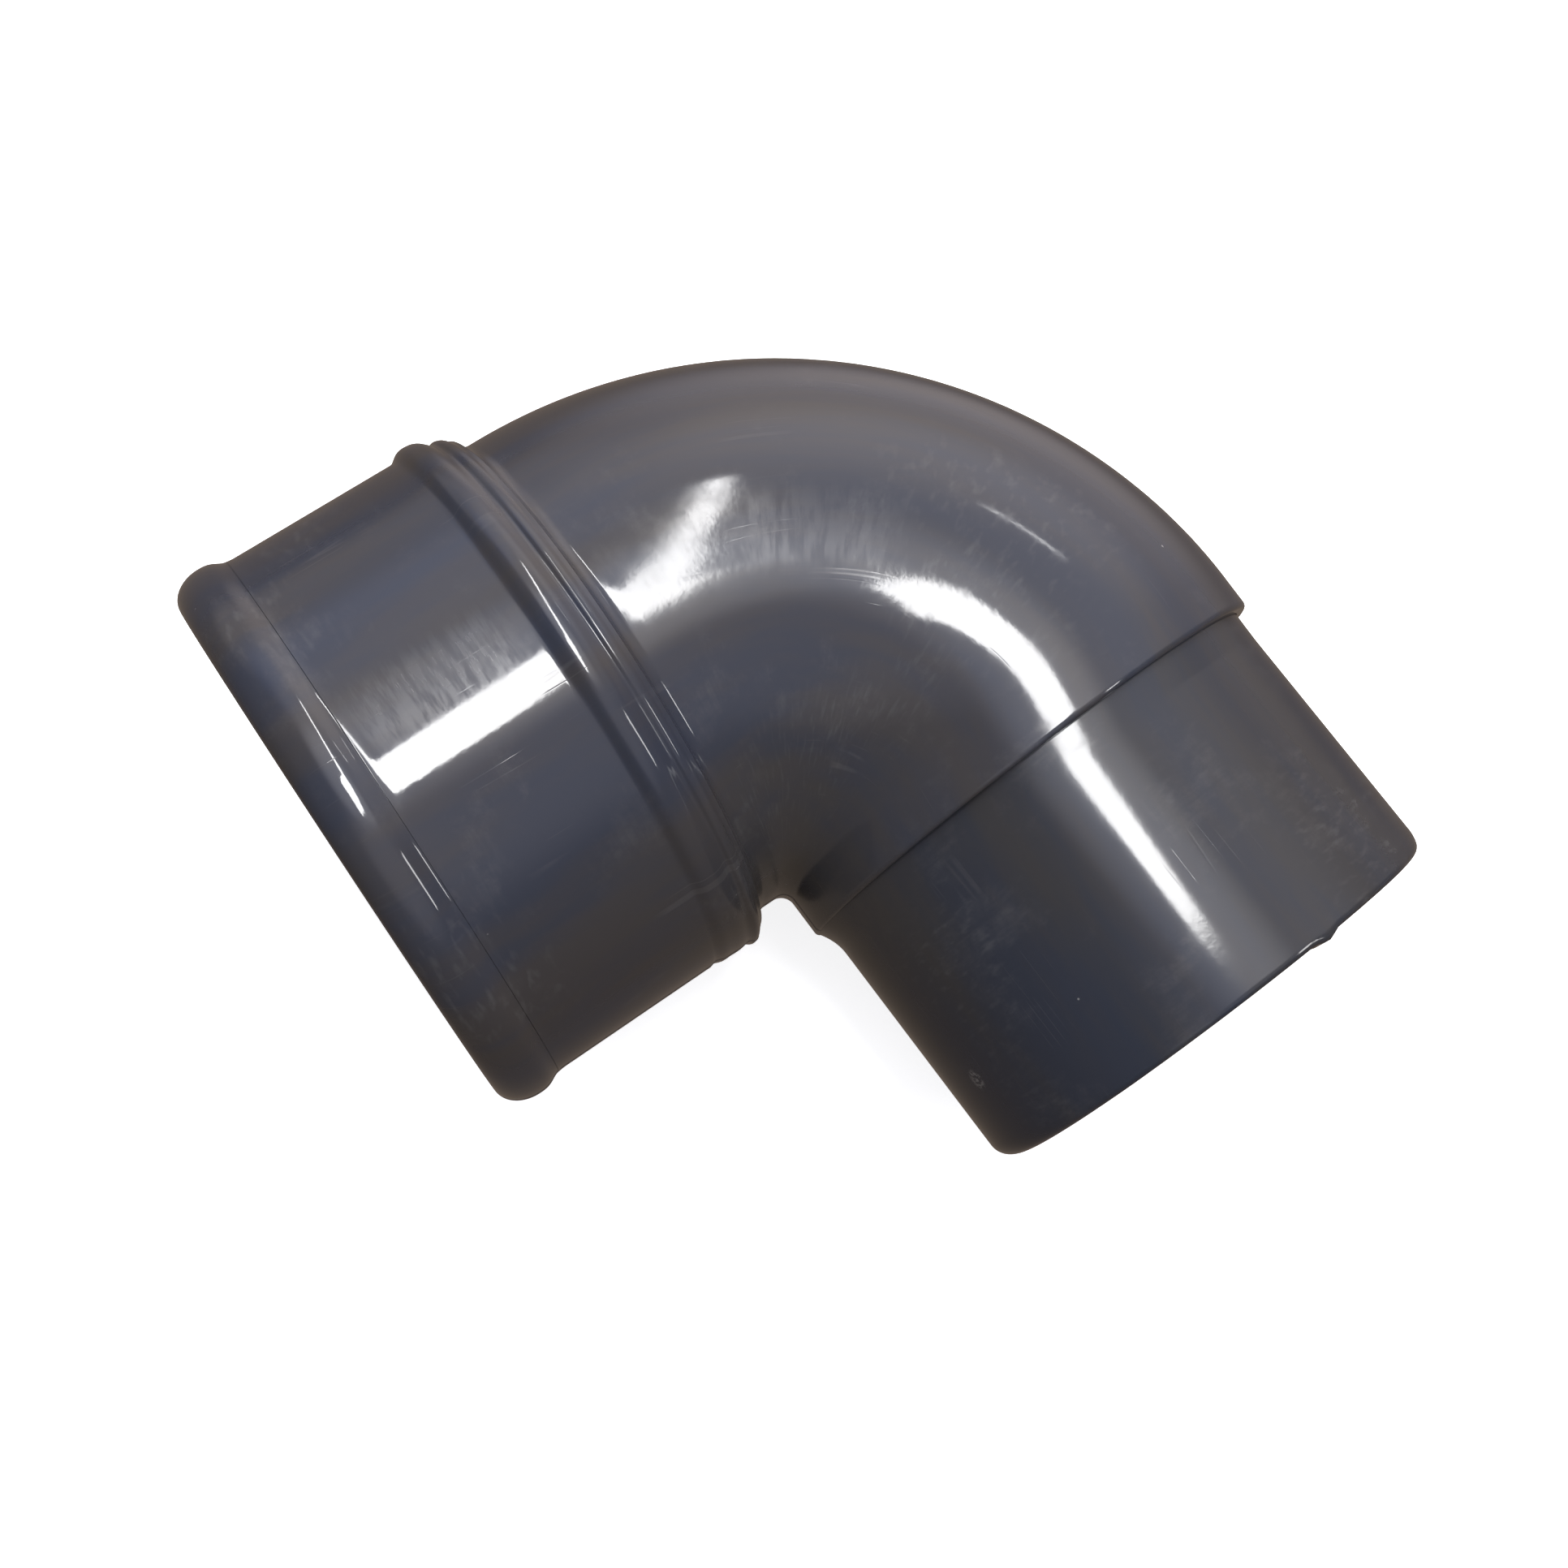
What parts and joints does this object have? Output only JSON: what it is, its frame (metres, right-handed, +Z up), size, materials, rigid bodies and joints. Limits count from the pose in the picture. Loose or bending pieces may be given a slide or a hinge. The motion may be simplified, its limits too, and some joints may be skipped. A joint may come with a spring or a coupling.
{
  "type": "pvc elbow fitting",
  "caption": "Grey PVC pipe elbow, 87.5 degree bend, push-fit socket with rounded beads at one end and a plain rounded spigot at the other, for a 50 mm pipe.",
  "frame": {"origin": "middle of the bounding box on the floor plane, with the elbow lying on its side on its two beads and the lower edge of its spigot", "axes": "-X out of the socket along its axis, which is level; the spigot leaves towards -Y, 87.5 degrees from the socket axis and 4.5 degrees below level; +Z up"},
  "size_m": [0.086, 0.0896, 0.0587],
  "materials": {
    "grey_pvc": "glossy dark bluish grey moulded PVC with fine scratches",
    "spigot_pvc": "dark bluish grey extruded PVC pipe, slightly duller than the moulding",
    "black_rubber": "matt black rubber"
  },
  "bodies": {
    "root": {"elbow_body": "grey_pvc", "spigot_tube": "spigot_pvc", "seal_retaining_ring": "grey_pvc", "seal_ring": "black_rubber"}
  },
  "joints": []
}
